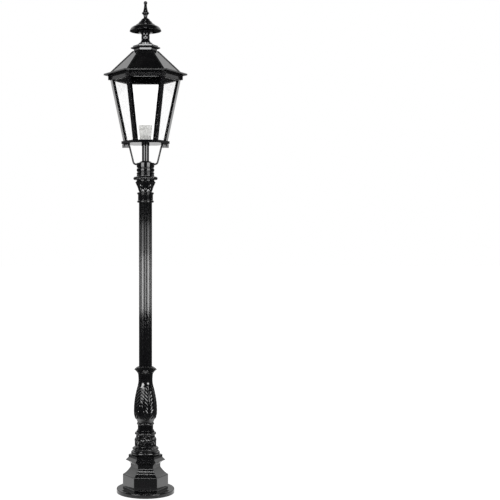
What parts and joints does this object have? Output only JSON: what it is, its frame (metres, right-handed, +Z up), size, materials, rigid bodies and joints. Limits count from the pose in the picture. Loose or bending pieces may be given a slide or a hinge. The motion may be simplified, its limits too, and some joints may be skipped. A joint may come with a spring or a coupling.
{
  "type": "lantern lamp post",
  "caption": "Cast garden lamp post: round foot on a six-sided pedestal, vase baluster, fluted shaft and a turning six-sided glazed lantern whose roof opens for the lamp.",
  "frame": {"origin": "middle of the underside of the base disc", "axes": "+Z up the post, -Y to the front flat of the lantern, the roof hinge at +Y, corners on X"},
  "size_m": [0.383, 0.3318, 2.2401],
  "materials": {
    "black_coat": "cast aluminium with a smooth gloss black coat",
    "black_steel": "steel with a gloss black coat",
    "zinc_steel": "zinc plated steel",
    "clear_glass": "clear float glass",
    "white_holder": "white moulded thermoset plastic, ribbed",
    "holder_ceramic": "unglazed steatite",
    "brass": "bare rolled brass",
    "black_rubber": "moulded rubber"
  },
  "bodies": {
    "post": {"base_disc": "black_coat", "earth_screw": "zinc_steel", "cable_bush": "black_rubber", "tie_tube": "zinc_steel", "tie_tube_lower_nut": "zinc_steel", "tie_tube_upper_nut": "zinc_steel", "tie_tube_washers": "zinc_steel", "pedestal": "black_coat", "baluster_foot": "black_coat", "baluster": "black_coat", "fluted_shaft": "black_coat", "capital": "black_coat", "capital_screws": "black_steel"},
    "lantern": {"collar": "black_coat", "collar_screws": "black_steel", "stem_tube": "black_coat", "stem_lock_ring": "black_steel", "stem_nut": "zinc_steel", "stay_arm_right": "black_coat", "stay_arm_left": "black_coat", "knob_bolts": "black_steel", "lantern_floor": "black_coat", "bar_foot_screws": "black_steel", "bar_head_screws": "black_steel", "upper_frame": "black_coat", "roof_screws": "black_steel", "hinge_frame_leaf": "black_steel", "hinge_frame_screws": "black_steel", "hinge_pin": "zinc_steel", "lampholder_strap": "zinc_steel", "strap_screws": "zinc_steel", "lampholder_cup": "white_holder", "cup_screws": "zinc_steel", "lampholder_insert": "holder_ceramic", "lampholder_shell": "brass", "lampholder_contact": "brass", "lampholder_ring": "white_holder", "corner_bar_1": "black_coat", "pane_1": "clear_glass", "corner_bar_2": "black_coat", "pane_2": "clear_glass", "corner_bar_3": "black_coat", "pane_3": "clear_glass", "corner_bar_4": "black_coat", "pane_4": "clear_glass", "corner_bar_5": "black_coat", "pane_5": "clear_glass", "corner_bar_6": "black_coat", "pane_6": "clear_glass"},
    "roof": {"roof_shell": "black_coat", "hinge_roof_leaf": "black_steel", "hinge_roof_screws": "black_steel", "chimney_base": "black_coat", "chimney_hat": "black_coat", "finial": "black_coat", "finial_stud": "zinc_steel", "stud_nut": "zinc_steel", "stud_washer": "zinc_steel"}
  },
  "joints": [
    {"name": "lantern_swivel", "type": "hinge", "parent": "post", "child": "lantern", "pos_m": [0, 0, 1.4615], "axis": [0, 0, 1], "range_deg": [-180, 180]},
    {"name": "roof_hinge", "type": "hinge", "parent": "lantern", "child": "roof", "pos_m": [0, 0.152, 1.8966], "axis": [-1, 0, 0], "range_deg": [0, 95]}
  ]
}
